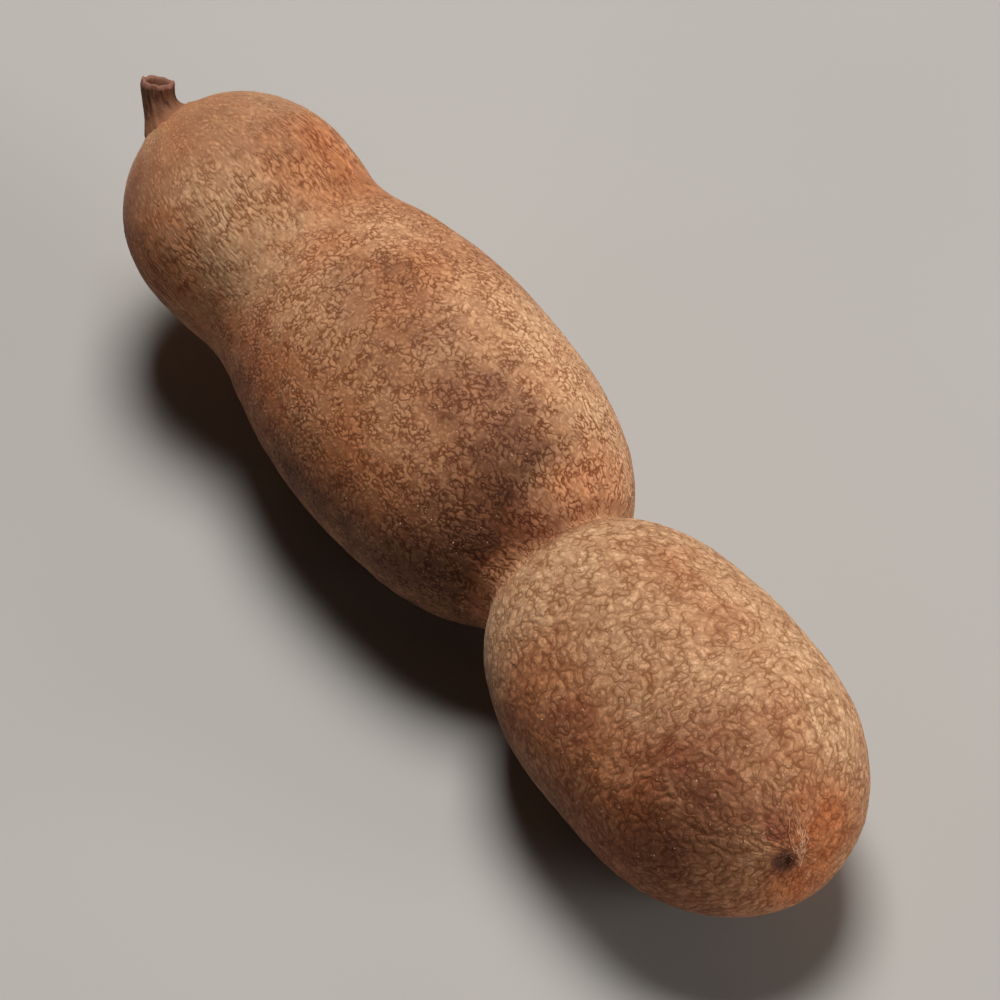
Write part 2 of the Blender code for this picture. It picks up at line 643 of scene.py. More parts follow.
    def scar(self) -> Triple:
        """Where the dark scar lies, a little below and to the -Y side of the very tip."""
        x, y, z = self.spine(self.length)
        return x - 0.2 * MM, y - 1.2 * MM, z - 0.35 * MM

    def crease(self) -> float:
        """The station of the waist, where the middle lobe meets the end lobe."""
        stations = np.linspace(self.middle.at, self.end.at, 400)
        return float(min(stations, key=lambda x: self.radius_at(float(x), math.pi / 2)))


# --- The skin's patterns, shared by the shell's relief and its finish ---


@dataclass(frozen=True)
class SkinPattern:
    """The patterns of the shell's skin, drawn on a place that follows the skin."""

    coarse: float = 0.95 * MM
    fine: float = 0.50 * MM
    combed: float = 0.42 * MM
    comb: tuple[float, float, float] = (0.42, 1.0, 1.0)
    cell: float = 1.25 * MM
    fold: float = 0.5 * MM
    fold_run: tuple[float, float, float] = (0.2, 1.0, 1.0)
    end_lobe: tuple[float, float] = (45.5 * MM, 49 * MM)
    shoulder: tuple[float, float] = (19 * MM, 9 * MM)
    pucker_back: tuple[float, float] = (-3.6 * MM, -0.4 * MM)
    pucker_front: tuple[float, float] = (1.4 * MM, 0.2 * MM)
    full_girth: float = 11.0 * MM
    drawing: float = 0.72

    def reach_of(self, girth: Amount) -> Amount:
        """How far from its axis the pattern is read. It is drawn out where the shell narrows."""
        return (girth / self.full_girth) ** self.drawing * self.full_girth

    def coarseness(self, station: Signal) -> Signal:
        """How coarse the skin is: 0 on the shoulder and middle lobe, 1 on the end lobe."""
        return station.ramp(*self.end_lobe)

    def ridges(self, graph: Graph, place: Signal, size: float) -> Signal:
        """Wriggling ridges: 0 in the furrows between them, about 0.25 on their crests."""
        wriggled = graph.stirred(place, 1.1 * size, 0.2 * size)
        return without_sign(graph.cloud(wriggled, size, 1.0) - 0.5)

    def cells(self, graph: Graph, skin: Signal) -> Signal:
        """How far a point lies from the nearest crack of the coarse net, in shares of a cell."""
        return graph.cell_edge(graph.stirred(skin, 0.7 * MM, 0.35 * MM), self.cell)

    def puckering(self, station: Signal, form: ShellForm) -> Signal:
        """How much the skin is puckered beside the waist, more on the middle lobe's side."""
        past = station - form.crease()
        return past.ramp(*self.pucker_back) * past.ramp(*self.pucker_front)

    def folds(self, graph: Graph, skin: Signal) -> Signal:
        """Fine wrinkles that run lengthwise, from -0.5 to 0.5."""
        return graph.cloud(skin * self.fold_run, self.fold, 2.0) - 0.5

    def ragged(self, graph: Graph, from_scar: Signal) -> Signal:
        """How far a point lies from the scar, uneven so that the scar gets a torn edge."""
        return graph.stirred(from_scar, 0.7 * MM, 0.4 * MM).length()


PATTERN = SkinPattern()


# --- Finishes ---


class Tone(Enum):
    """The colours that a patch of the shell can turn."""

    PALE = (0.625, 0.375, 0.207)
    BROWN = (0.175, 0.068, 0.035)
    UMBER = (0.1, 0.0305, 0.0105)
    RUSSET = (0.30, 0.098, 0.042)
    RUST = (0.56, 0.185, 0.065)
    WINE = (0.27, 0.066, 0.034)


@dataclass(frozen=True)
class Patch:
    """A soft patch of another tone on the shell, in millimetres and degrees."""

    tone: Tone
    station: float
    degrees: float
    along: float
    around: float
    strength: float


def patches_of(tone: Tone, *rows: tuple[float, ...]) -> list[Patch]:
    """Patches of one tone, each from its station, degrees, along, around and strength."""
    return [Patch(tone, *row) for row in rows]


@dataclass(frozen=True)
class Stain:
    """A stain beside the scar, in millimetres. Its place is measured from the scar."""

    tone: Tone
    place: tuple[float, float, float]
    reach: float
    strength: float


class FinishGraph(Graph):
    """The node tree of a new material, around its Principled shader."""

    def __init__(self, name: str) -> None:
        """Makes the material.

        Args:
            name: The material's name.
        """
        self.material = bpy.data.materials.new(name)
        self.material.use_nodes = True
        super().__init__(self.material.node_tree)

    def attribute(self, name: str) -> Signal:
        """A piece's own attribute."""
        return self.add("ShaderNodeAttribute", {}, "Vector", attribute_name=name)

    def here(self) -> Signal:
        """The place of a point on its object."""
        return self.add("ShaderNodeTexCoord", {}, "Object")

    def dress(
        self,
        colour: Signal,
        roughness: Amount,
        relief: Optional[Signal] = None,
        **constants: object,
    ) -> Material:
        """Feeds the shader.

        Args:
            colour: The base colour.
            roughness: The roughness.
            relief: The height of the fine relief, if there is any.
            constants: What is the same all over, by the input's name with its spaces as "_".

        Returns:
            The finished material.
        """
        shader = self.tree.nodes["Principled BSDF"]
        if relief:
            bump = self.add("ShaderNodeBump", {"Height": relief, "Distance": 1.0, "Strength": 1.0})
            self.feed(shader.inputs["Normal"], bump)
        for name, value in {"Base_Color": colour, "Roughness": roughness, **constants}.items():
            self.feed(shader.inputs[name.replace("_", " ")], value)
        return self.material


@dataclass(frozen=True)
class ShellFinish:
    """A dry, matt, scurfy skin: tan, mottled brown and rust, under a net of fine dark cracks, with
    painted shade, painted bounce light and painted highlight worked into its colour.
    """

    form: ShellForm
    tan: Colour = (0.45, 0.190, 0.083)
    furrow_shade: Colour = (0.42, 0.27, 0.165)
    # lightens the crests: partly pale scurf, partly painted highlight
    crest_shade: Colour = (1.36, 1.42, 1.50)
    scar: Colour = (0.060, 0.026, 0.016)
    pillow_height: float = 0.015 * MM
    ridge_height: float = 0.020 * MM
    crest_height: float = 0.018 * MM
    speckle_height: float = 0.022 * MM
    pucker_height: float = 0.10 * MM
    fold_height: float = 0.01 * MM
    # The patches are partly the skin's own mottling and partly painted light and shade, laid where
    # the shell faces towards or away from the light.
    patches: tuple[Patch, ...] = (
        # partly painted light: pale patches where the shell turns towards the light, besides pale
        # mottling
        *patches_of(
            Tone.PALE,
            (63, 38, 15, 7, 1.0), (73, 36, 5, 6, 0.7), (57, 105, 13, 11, 0.4),
            (51.5, 88, 4, 17, 0.7), (66.8, 97, 5, 12, 0.6), (70.5, 82, 4, 8, 0.5),
            (13, 118, 5, 7, 0.5), (48.5, 125, 4, 17, 1.0),
        ),
        *patches_of(Tone.BROWN, (4, 78, 7, 9, 0.35)),
        *patches_of(Tone.PALE, (22, 112, 6, 5, 0.35), (36, 36, 13, 6, 0.75), (34, 122, 5, 4, 0.3)),
        *patches_of(Tone.BROWN, (27, 92, 9, 5, 0.35), (36, 86, 8, 5, 0.35), (39, 93, 7, 6, 0.5)),
        # partly painted shade: umber and russet beside the waist crease, where the middle lobe
        # turns from the light
        *patches_of(Tone.UMBER, (42.5, 104, 5, 12, 0.5), (44, 97, 4, 9.5, 0.9)),
        *patches_of(Tone.RUSSET, (45.8, 82, 3, 6.5, 0.7)),
        # painted shade: brown along the lower flank and underside, where the pod lies in shade
        *patches_of(
            Tone.BROWN,
            (41, 162, 6, 8, 0.75), (34, 200, 24, 12, 0.85), (60, 205, 18, 11, 0.6),
            (7, 183, 9, 9, 0.7), (24, 280, 12, 8, 0.4),
        ),
        # painted shade, partly: russet on the lower flank and on the tip's lower side
        *patches_of(
            Tone.RUSSET,
            (21, 168, 7, 7, 0.85), (3.5, 165, 5, 6, 0.6), (72, 130, 8, 9, 0.8),
            (71, 190, 9, 9, 0.6),
        ),
        # painted shade: the tip's lower side
        *patches_of(Tone.BROWN, (73.5, 145, 4, 6, 0.5)),
        *patches_of(Tone.PALE, (44.5, 50, 4, 8, 0.6)),
        # partly painted bounce light: rust warms the lower flank, which lies in shade
        *patches_of(
            Tone.RUST,
            (44.5, 56, 3.5, 6, 0.45), (60, 150, 15, 6, 0.55), (28, 148, 16, 5, 0.5),
            (13, 165, 7, 4, 0.35),
        ),
        *patches_of(Tone.PALE, (8, 134, 6, 7, 0.5)),
        # partly painted bounce light on the lower flank
        *patches_of(Tone.RUST, (7.5, 158, 5, 5, 0.6), (46.4, 158, 2.5, 8, 0.5)),
        *patches_of(Tone.PALE, (50, 138, 5, 8, 0.6)),
        *patches_of(Tone.WINE, (60.5, 143, 3, 3.2, 0.5)),
        *patches_of(Tone.RUST, (9.6, 46, 5, 4, 0.4), (36, 320, 7, 7, 0.4)),
    )
    stains: tuple[Stain, ...] = (
        Stain(Tone.RUSSET, (-1.5, 0.4, 5.0), 4.5, 0.35),
        Stain(Tone.RUST, (-0.4, 3.6, 0.6), 5.2, 1.0),
        Stain(Tone.RUST, (0.3, 0.8, -2.6), 3.4, 1.0),
        Stain(Tone.WINE, (-0.6, 0.2, 2.8), 2.4, 0.8),
        Stain(Tone.WINE, (-0.2, 0.2, -0.2), 1.9, 0.7),
    )

    def patch_mask(self, skin: Signal, patch: Patch) -> Signal:
        """Where a patch lies.

        Args:
            skin: The place on the skin.
            patch: The patch.

        Returns:
            A mask from 0 to the patch's strength.
        """
        station, turn = patch.station * MM, math.radians(patch.degrees)
        reach = PATTERN.reach_of(self.form.radius_at(station, turn))
        centre = (station, reach * math.cos(turn), reach * math.sin(turn))
        away = (skin - centre) / (patch.along * MM, patch.around * MM, patch.around * MM)
        return away.length().ramp(1.1, 0.3) * patch.strength

    def mottled(self, graph: Graph, skin: Signal, from_scar: Signal) -> Signal:
        """The ground colour: tan with soft patches, partly the skin's own mottling and partly
        painted shade and painted light, and stains about the scar.

        Args:
            graph: The finish's tree.
            skin: The place on the skin.
            from_scar: The place as seen from the scar.

        Returns:
            The colour.
        """
        cloudy = graph.cloud(skin, 2.4 * MM, 4.0, 0.62)
        loose = graph.stirred(skin, 3.5 * MM, 1.6 * MM)
        broken = cloudy.ramp(0.28, 0.66, 0.5, 1.2)
        fair = graph.cloud(skin, 9 * MM, 3.0).ramp(0.38, 0.68) * 0.5
        colour = graph.tint(fair, self.tan, Tone.PALE.value)
        clouding = PATTERN.coarseness(skin.parts()[0]) * -0.28 + 0.42
        colour = graph.tint(cloudy.ramp(0.46, 0.76) * clouding, colour, Tone.BROWN.value)
        for patch in self.patches:
            colour = graph.tint(self.patch_mask(loose, patch) * broken, colour, patch.tone.value)
        near = graph.stirred(from_scar, 1.8 * MM, 0.9 * MM)
        for stain in self.stains:
            reach = stain.reach * MM
            place = tuple(x * MM for x in stain.place)
            mask = (near - place).length().ramp(reach, 0.2 * reach)
            colour = graph.tint(mask * broken * stain.strength, colour, stain.tone.value)
        return colour

    def net(self, graph: Graph, skin: Signal) -> Triple:
        """The crackle, combed lengthwise on the shoulder and coarse on the end lobe.

        Args:
            graph: The finish's tree.
            skin: The place on the skin.

        Returns:
            The dark furrows, the crests (which are lightened in colour, partly as pale scurf and
            partly as painted highlight), and the height of the end lobe's pillows.
        """
        station, _, _ = skin.parts()
        coarse = PATTERN.coarseness(station)
        combing = station.ramp(*PATTERN.shoulder)
        plain = 1 - combing
        ridges = PATTERN.ridges(graph, skin, PATTERN.coarse)
        fine = PATTERN.ridges(graph, skin, PATTERN.fine)
        combed = PATTERN.ridges(graph, skin * PATTERN.comb, PATTERN.combed)
        cells = PATTERN.cells(graph, skin)
        cloudlets = graph.cloud(skin, 1.4 * MM, 2.0)
        fading = cloudlets.ramp(0.36, 0.58, 0.3, 1.0) * (1 - coarse)
        fading = fading + cloudlets.ramp(0.30, 0.55, 0.45, 0.9) * coarse
        furrows = fine.ramp(0.115, 0.0) * plain + combed.ramp(0.10, 0.0) * combing
        furrows = furrows * station.ramp(2 * MM, 9 * MM, 0.35, 1.0)
        furrows = furrows * station.ramp(36 * MM, 44 * MM, 0.95, 1.2) * (1 - coarse * 0.5)
        coarse_furrows = larger(ridges.ramp(0.085, 0.0), cells.ramp(0.08, 0.02) * 0.6)
        furrows = larger(coarse_furrows * coarse, furrows) * fading
        crests = fine.ramp(0.08, 0.2) * plain + combed.ramp(0.08, 0.2) * combing
        crests = crests * (1 - coarse) + ridges.ramp(0.08, 0.2) * coarse
        pillows = cells.ramp(0.0, 0.2) * coarse * self.pillow_height
        pillows = pillows + ridges.ramp(0.0, 0.16) * coarse * self.ridge_height
        return furrows, crests, pillows

    def make(self) -> Material:
        """Builds the material.

        Returns:
            The material.
        """
        graph = FinishGraph("crackled_scurfy_shell")
        skin = graph.attribute(SKIN)
        from_scar = graph.here() - self.form.scar()
        station, _, _ = skin.parts()
        speckle = graph.cloud(skin, 0.36 * MM, 2.0, 0.6)
        past = station - self.form.crease()
        # painted shade: the waist crease is darkened in colour, on top of the groove cut there
        crease = past.ramp(-1.2 * MM, -0.2 * MM) * past.ramp(0.3 * MM, 0.0)
        at_tip = from_scar.length().ramp(5.0 * MM, 1.0 * MM)
        puckered = larger(PATTERN.puckering(station, self.form) * 0.6, at_tip)
        furrows, crests, pillows = self.net(graph, skin)
        folds = PATTERN.folds(graph, skin)
        # painted shade: the troughs of the folds by the waist and tip are darkened in colour
        fold_trough_shade = folds.ramp(0.0, -0.2) * puckered

        # partly pale scurf, partly painted highlight: crest tops and the tops of the folds by the
        # waist and tip are lightened
        crest_scurf_and_highlight = crests * speckle.ramp(0.34, 0.66)
        crest_scurf_and_highlight = larger(crest_scurf_and_highlight, folds.ramp(0.08, 0.25) * puckered * 0.5)
        specks = speckle.ramp(0.40, 0.26) * 0.6
        # real cracks and dark specks, plus painted shade in the fold troughs and the waist crease
        cracks_specks_and_painted_shade = larger(larger(furrows, fold_trough_shade * 0.7), larger(specks, crease * 0.3))
        colour = self.mottled(graph, skin, from_scar)
        colour = graph.tint(crest_scurf_and_highlight, colour, self.crest_shade, "MULTIPLY")
        colour = graph.tint(cracks_specks_and_painted_shade, colour, self.furrow_shade, "MULTIPLY")
        torn = PATTERN.ragged(graph, from_scar).ramp(1.4 * MM, 0.4 * MM) * 0.8
        relief = (
            pillows
            + crests * self.crest_height
            - furrows * self.crest_height
            + speckle * self.speckle_height
            + folds * (puckered * self.pucker_height + self.fold_height)
        )
        return graph.dress(
            graph.tint(torn, colour, self.scar),
            speckle.ramp(0.2, 0.8, 0.93, 0.74),
            relief,
            Specular_IOR_Level=0.25,
            Sheen_Weight=0.12,
            Sheen_Roughness=0.4,
            Sheen_Tint=(1.0, 0.78, 0.6),
        )


@dataclass(frozen=True)
class StalkFinish:
    """Dry woody stalk: dark brown, darkened partly as painted shadow, streaked lengthwise, paler
    where it is broken, with painted shade inside its hollow end.
    """

    # the skin and bark colours are darker partly as painted shadow cast over the stub
    skin: Colour = (0.31, 0.130, 0.064)
    bark: Colour = (0.185, 0.078, 0.040)
    furrow: Colour = (0.075, 0.022, 0.014)
    rib: Colour = (0.27, 0.12, 0.065)
    broken: Colour = (0.30, 0.135, 0.095)

    def make(self) -> Material:
        """Builds the material.

        Returns:
            The material.
        """
        graph = FinishGraph("dry_stalk")
        grain = graph.attribute(GRAIN)
        along, across, rise = grain.parts()
        strands = graph.cloud(grain * (0.14, 1.0, 1.0), 0.28 * MM, 3.0, 0.6)
        mottle = graph.cloud(grain, 0.9 * MM, 3.0)
        colour = graph.tint(strands.ramp(0.3, 0.55), self.furrow, self.bark)
        colour = graph.tint(strands.ramp(0.55, 0.75) * mottle.ramp(0.35, 0.6), colour, self.rib)
        colour = graph.tint(along.ramp(1.6 * MM, 0.1 * MM), colour, self.skin)
        edge = graph.stirred(grain, 0.8 * MM, 0.25 * MM).parts()[0].ramp(2.75 * MM, 3.05 * MM)
        colour = graph.tint(edge * 0.8, colour, self.broken)
        # painted shade: the inside of the hollow broken end is darkened
        heart = root(across**2 + rise**2).ramp(0.95 * MM, 0.6 * MM) * along.ramp(1.9 * MM, 2.2 * MM)
        colour = graph.tint(heart * 0.9, colour, self.furrow)
        relief = strands * (0.04 * MM) + mottle * (0.03 * MM)
        roughness = strands.ramp(0.2, 0.8, 0.92, 0.75)
        return graph.dress(colour, roughness, relief, Specular_IOR_Level=0.3)


@dataclass(frozen=True)
class DrySpeckFinish:
    """A dry finish in two shades. Its roughness is one number, or changes with the shade."""

    name: str
    dark: Colour
    light: Colour
    size: float
    detail: float
    shades: tuple[float, float]
    roughness: Union[float, tuple[float, float]]
    relief: float = 0.0
    specular: float = 0.5

    def make(self) -> Material:
        """Builds the material.

        Returns:
            The material.
        """
        graph = FinishGraph(self.name)
        shade = graph.cloud(graph.here(), self.size, self.detail)
        even = isinstance(self.roughness, float)
        return graph.dress(
            graph.tint(shade.ramp(*self.shades), self.dark, self.light),
            self.roughness if even else shade.ramp(0.3, 0.7, *self.roughness),
            shade * self.relief if self.relief else None,
            Specular_IOR_Level=self.specular,
        )


TORN_FIBRE = DrySpeckFinish(
    name="pale_fibre",
    dark=(0.45, 0.19, 0.10),
    light=(0.76, 0.40, 0.23),
    size=0.5 * MM,
    detail=3.0,
    shades=(0.35, 0.6),
    roughness=(0.95, 0.8),
    relief=0.02 * MM,
)
SCURF_GRAIN = DrySpeckFinish(
    name="dry_scurf_grain",
    dark=(0.26, 0.11, 0.058),
    light=(0.66, 0.38, 0.22),
    size=0.9 * MM,
    detail=2.0,
    shades=(0.38, 0.62),
    roughness=(0.92, 0.78),
    specular=0.25,
)
STUDIO_FLOOR = DrySpeckFinish(
    name="pale_floor",
    dark=(0.435, 0.42, 0.40),
    light=(0.455, 0.44, 0.42),
    size=60 * MM,
    detail=2.0,
    shades=(0.3, 0.7),
    roughness=0.8,
    specular=0.2,
)


# --- Pieces ---


def read(items: bpy_prop_collection, name: str, kind: type, width: int = 1) -> np.ndarray:
    """Reads one property of many items at once.

    Args:
        items: The items.
        name: The property's name.
        kind: The type of its numbers.
        width: How many numbers each item has.

    Returns:
        The numbers, one item to a row where it has several.
    """
    found = np.empty(len(items) * width, kind)
    items.foreach_get(name, found)
    return found.reshape(-1, width) if width > 1 else found


@dataclass
class PodShell:
    """The shell, from the neck under the stalk to the style scar."""

    form: ShellForm
    sides: int = 304
    rings: int = 304
    cap_rings: int = 6
    end_crowding: float = 0.55
    lump: float = 0.34 * MM
    dimple: float = 0.12 * MM
    pebble: float = 0.05 * MM
    ridge: float = 0.018 * MM
    fold: float = 0.03 * MM
    waist_fold: float = 0.09 * MM
    tip_fold: float = 0.15 * MM
    groove: float = 0.32 * MM
    pit: float = 0.35 * MM
    map_border: float = 0.004

    def station_of(self, share: Amount, length: Amount) -> Amount:
        """A ring's station: rings lie closer together where the ends round over."""
        crowded = 0.5 - 0.5 * cosine(share * math.pi)
        return length * (crowded * self.end_crowding + share * (1 - self.end_crowding))

    def build(self) -> Object:
        """Makes the shell: a capped tube, given its form, then its relief.

        Returns:
            The shell.
        """
        graph = GeometryGraph("pod_shell_form")
        form = self.form.as_inputs(graph)
        counts = {
            "Vertices": graph.size("sides", self.sides),
            "Side Segments": graph.size("rings", self.rings),
            "Fill Segments": graph.size("cap rings", self.cap_rings),
        }
        sockets = {**counts, "Radius": 1.0, "Depth": 1.0}
        mesh = graph.add("GeometryNodeMeshCylinder", sockets, fill_type="TRIANGLE_FAN")
        x, y, z = graph.add("GeometryNodeInputPosition", {}).parts()
        share = root(x**2 + y**2)
        angle = y.join("ARCTAN2", y, x)
        station = self.station_of(z + 0.5, form.length)
        girth = form.radius_at(station, angle) * share
        reach = PATTERN.reach_of(girth)
        skin = graph.vector(station, reach * cosine(angle), reach * sine(angle))
        mesh = graph.keep(mesh, SKIN, skin)
        mesh = graph.keep(mesh, GIRTH, girth)
        mesh = graph.keep(mesh, TURN, angle / (2 * math.pi))
        mesh = graph.place(mesh, Position=graph.vector(*form.surface(station, angle, share)))
        mesh = self.raise_relief(graph, mesh)
        shell = graph.make("pod_shell", mesh, ShellFinish(self.form).make())
        self.unwrap(shell.data)
        return on_root(shell, "pod")

    def raise_relief(self, graph: GeometryGraph, mesh: Signal) -> Signal:
        """Raises the skin's lumps, crackled pillows and folds, and presses the resting side flat.

        Args:
            graph: The shell's tree.
            mesh: The shell with its plain form.

        Returns:
            The shell with its relief.
        """
        skin = graph.add(
            "GeometryNodeInputNamedAttribute", {"Name": SKIN}, "Attribute", data_type="FLOAT_VECTOR"
        )
        place = graph.add("GeometryNodeInputPosition", {})
        station, _, _ = skin.parts()
        from_scar = place - self.form.scar()
        waist = without_sign(station - self.form.crease())
        puckering = PATTERN.puckering(station, self.form)
        at_tip = from_scar.length().ramp(5 * MM, 1.0 * MM)
        folds = PATTERN.folds(graph, skin)
        ridges = PATTERN.ridges(graph, skin, PATTERN.coarse).ramp(0.0, 0.16)
        ridges = ridges * PATTERN.coarseness(station)
        torn = PATTERN.ragged(graph, from_scar).ramp(1.0 * MM, 0.3 * MM)
        height = (
            (graph.cloud(place, 13 * MM, 1.0) - 0.5) * (2 * graph.size("lump", self.lump))
            + (graph.cloud(place, 4.5 * MM, 1.0) - 0.5) * (2 * graph.size("dimple", self.dimple))
            + (graph.cloud(skin, 1.7 * MM, 1.0) - 0.5) * (2 * graph.size("pebble", self.pebble))
            + ridges * graph.size("ridge", self.ridge)
            + folds * graph.size("fold", self.fold)
            + folds * puckering * graph.size("waist fold", self.waist_fold)
            + folds * at_tip * graph.size("tip fold", self.tip_fold)
            - waist.ramp(0.9 * MM, 0.0) * graph.size("groove", self.groove)
            - torn * graph.size("pit", self.pit)
        )
        mesh = graph.place(mesh, Offset=graph.add("GeometryNodeInputNormal", {}) * height)
        x, y, z = graph.add("GeometryNodeInputPosition", {}).parts()
        return graph.place(mesh, Position=graph.vector(x, y, larger(z, 0.0)))

    def unwrap(self, mesh: Mesh) -> None:
        """Lays the shell's own map: the turn round the spine across, the run from neck to tip up.

        Args:
            mesh: The shell's mesh.
        """
        turn = read(mesh.attributes[TURN].data, "value", np.float32)
        girth = read(mesh.attributes[GIRTH].data, "value", np.float32)
        station = read(mesh.attributes[SKIN].data, "vector", np.float32, 3)[:, 0]
        stations = np.linspace(0.0, self.form.length, 500)
        profile = np.array([(x, self.form.radius_at(float(x), math.pi / 2)) for x in stations])
        steps = np.linalg.norm(np.diff(profile, axis=0), axis=1)
        runs = np.concatenate(([0.0], np.cumsum(steps)))
        run = np.interp(station, stations, runs)
        run = np.where(station <= 0, girth - profile[0, 1], run)
        at_tip = station >= self.form.length * (1 - 1e-6)
        run = np.where(at_tip, runs[-1] + profile[-1, 1] - girth, run)
        low, high = run.min(), run.max()
        corners = read(mesh.loops, "vertex_index", np.int32)
        first = read(mesh.polygons, "loop_start", np.int32)
        sizes = np.diff(np.append(first, len(corners)))
        across = turn[corners] % 1.0
        widest = np.repeat(np.maximum.reduceat(across, first), sizes)
        across = np.where(widest - across > 0.5, across + 1, across)
        places = np.stack([across, (run[corners] - low) / (high - low)], axis=1)
        places = self.map_border + (1 - 2 * self.map_border) * places / (1 + 1 / self.sides, 1)
        layer = mesh.uv_layers.new(name=BAKE_MAP)
        layer.uv.foreach_set("vector", places.astype(np.float32).ravel())
        mesh.attributes.remove(mesh.attributes[TURN])


@dataclass
class StalkStub:
    """The broken stub of stalk: it leaves the neck square on, bends to +Y and lifts a little."""

    form: ShellForm
    length: float = 3.1 * MM
    sunk: float = 0.35 * MM
    radii: tuple[float, ...] = (2.3, 2.05, 1.74, 1.50, 1.36, 1.28, 1.24, 1.23, 1.26, 1.29, 1.18)
    swing: float = math.radians(36)
    lift: float = math.radians(37)
    sides: int = 96
    rings: int = 56
    hollow_rings: int = 12
    hollow_depth: float = 0.8 * MM

    def build(self) -> Object:
        """Makes the stub: rings along its bend, then down into its hollow broken end.

        Returns:
            The stub.
        """
        along, level, upward = (Vector(axis) for axis in self.form.axes(0.0))
        base = Vector(self.form.spine(0.0)) + along * self.sunk
        mesh = bmesh.new()
        grain = mesh.verts.layers.float_vector.new(GRAIN)
        rings = []
        centre = base.copy()
        knots = np.linspace(0.0, 1.0, len(self.radii))
        for index in range(self.rings):
            share = index / (self.rings - 1)
            swing = Matrix.Rotation(-self.swing * share, 3, upward)
            turn = swing @ Matrix.Rotation(self.lift * share, 3, level)
            if index > 0:
                centre = centre - (turn @ along) * ((self.length + self.sunk) / (self.rings - 1))
            radius = np.interp(share, knots, self.radii) * MM
            section = (centre, turn @ along, turn @ level, turn @ upward)
            rings.append(self.ring(mesh, section, radius, share * self.length, share, 0.0))
        for index in range(1, self.hollow_rings):
            share = index / self.hollow_rings
            radius = self.radii[-1] * MM * (1 - share)
            sink = self.hollow_depth * min(1.0, max(0.0, (share - 0.2) / 0.35)) ** 0.7
            rings.append(self.ring(mesh, section, radius, self.length, 1.0 - share, sink))
        for lower, upper in zip(rings, rings[1:]):
            for index in range(self.sides):
                after = (index + 1) % self.sides
                mesh.faces.new((lower[index], lower[after], upper[after], upper[index]))
        heart = centre + section[1] * self.hollow_depth
        for ring, point, run in (
            (rings[0], base + along * 0.2 * MM, 0.0),
            (rings[-1], heart, self.length),
        ):
            apex = mesh.verts.new(point)
            apex[grain] = Vector((run, 0.0, 0.0))
            for index, vertex in enumerate(ring):
                mesh.faces.new((apex, vertex, ring[(index + 1) % len(ring)]))
        return on_root(solid("stalk_stub", mesh, StalkFinish().make()), "stalk")

    def ring(
        self,
        mesh: BMesh,
        section: tuple[Vector, Vector, Vector, Vector],
        radius: float,
        run: float,
        roughening: float,
        sink: float,
    ) -> list[BMVert]:
        """Adds one ring of points, ribbed lengthwise and uneven towards the broken end.

        Args:
            mesh: The mesh to add to.
            section: The ring's centre, its axis towards the pod, and two axes across it.
            radius: The ring's radius.
            run: How far along the stalk the ring is.
            roughening: How uneven its points are along the stalk, from 0 to 1.
            sink: How far it lies down inside the broken end.

        Returns:
            The ring's points.
        """
        centre, inward, level, upward = section
        grain = mesh.verts.layers.float_vector[GRAIN]
        made = []
        for index in range(self.sides):
            angle = 2 * math.pi * index / self.sides
            across = level * math.cos(angle) + upward * math.sin(angle)
            spot = Vector((math.cos(angle) * 2.2, math.sin(angle) * 2.2, run / MM * 0.35))
            ribs = noise.noise(spot * 1.7) * 0.07 + noise.noise(spot * 4.1) * 0.03
            ragged = noise.noise(spot * 0.9 + Vector((5.0, 2.0, 1.0))) * 0.26 * roughening**6
            reach = radius * (1 + ribs * min(1.0, radius / MM))
            vertex = mesh.verts.new(centre + across * reach + inward * (sink + ragged * MM))
            vertex[grain] = Vector((run - sink, reach * math.cos(angle), reach * math.sin(angle)))
            made.append(vertex)
        return made


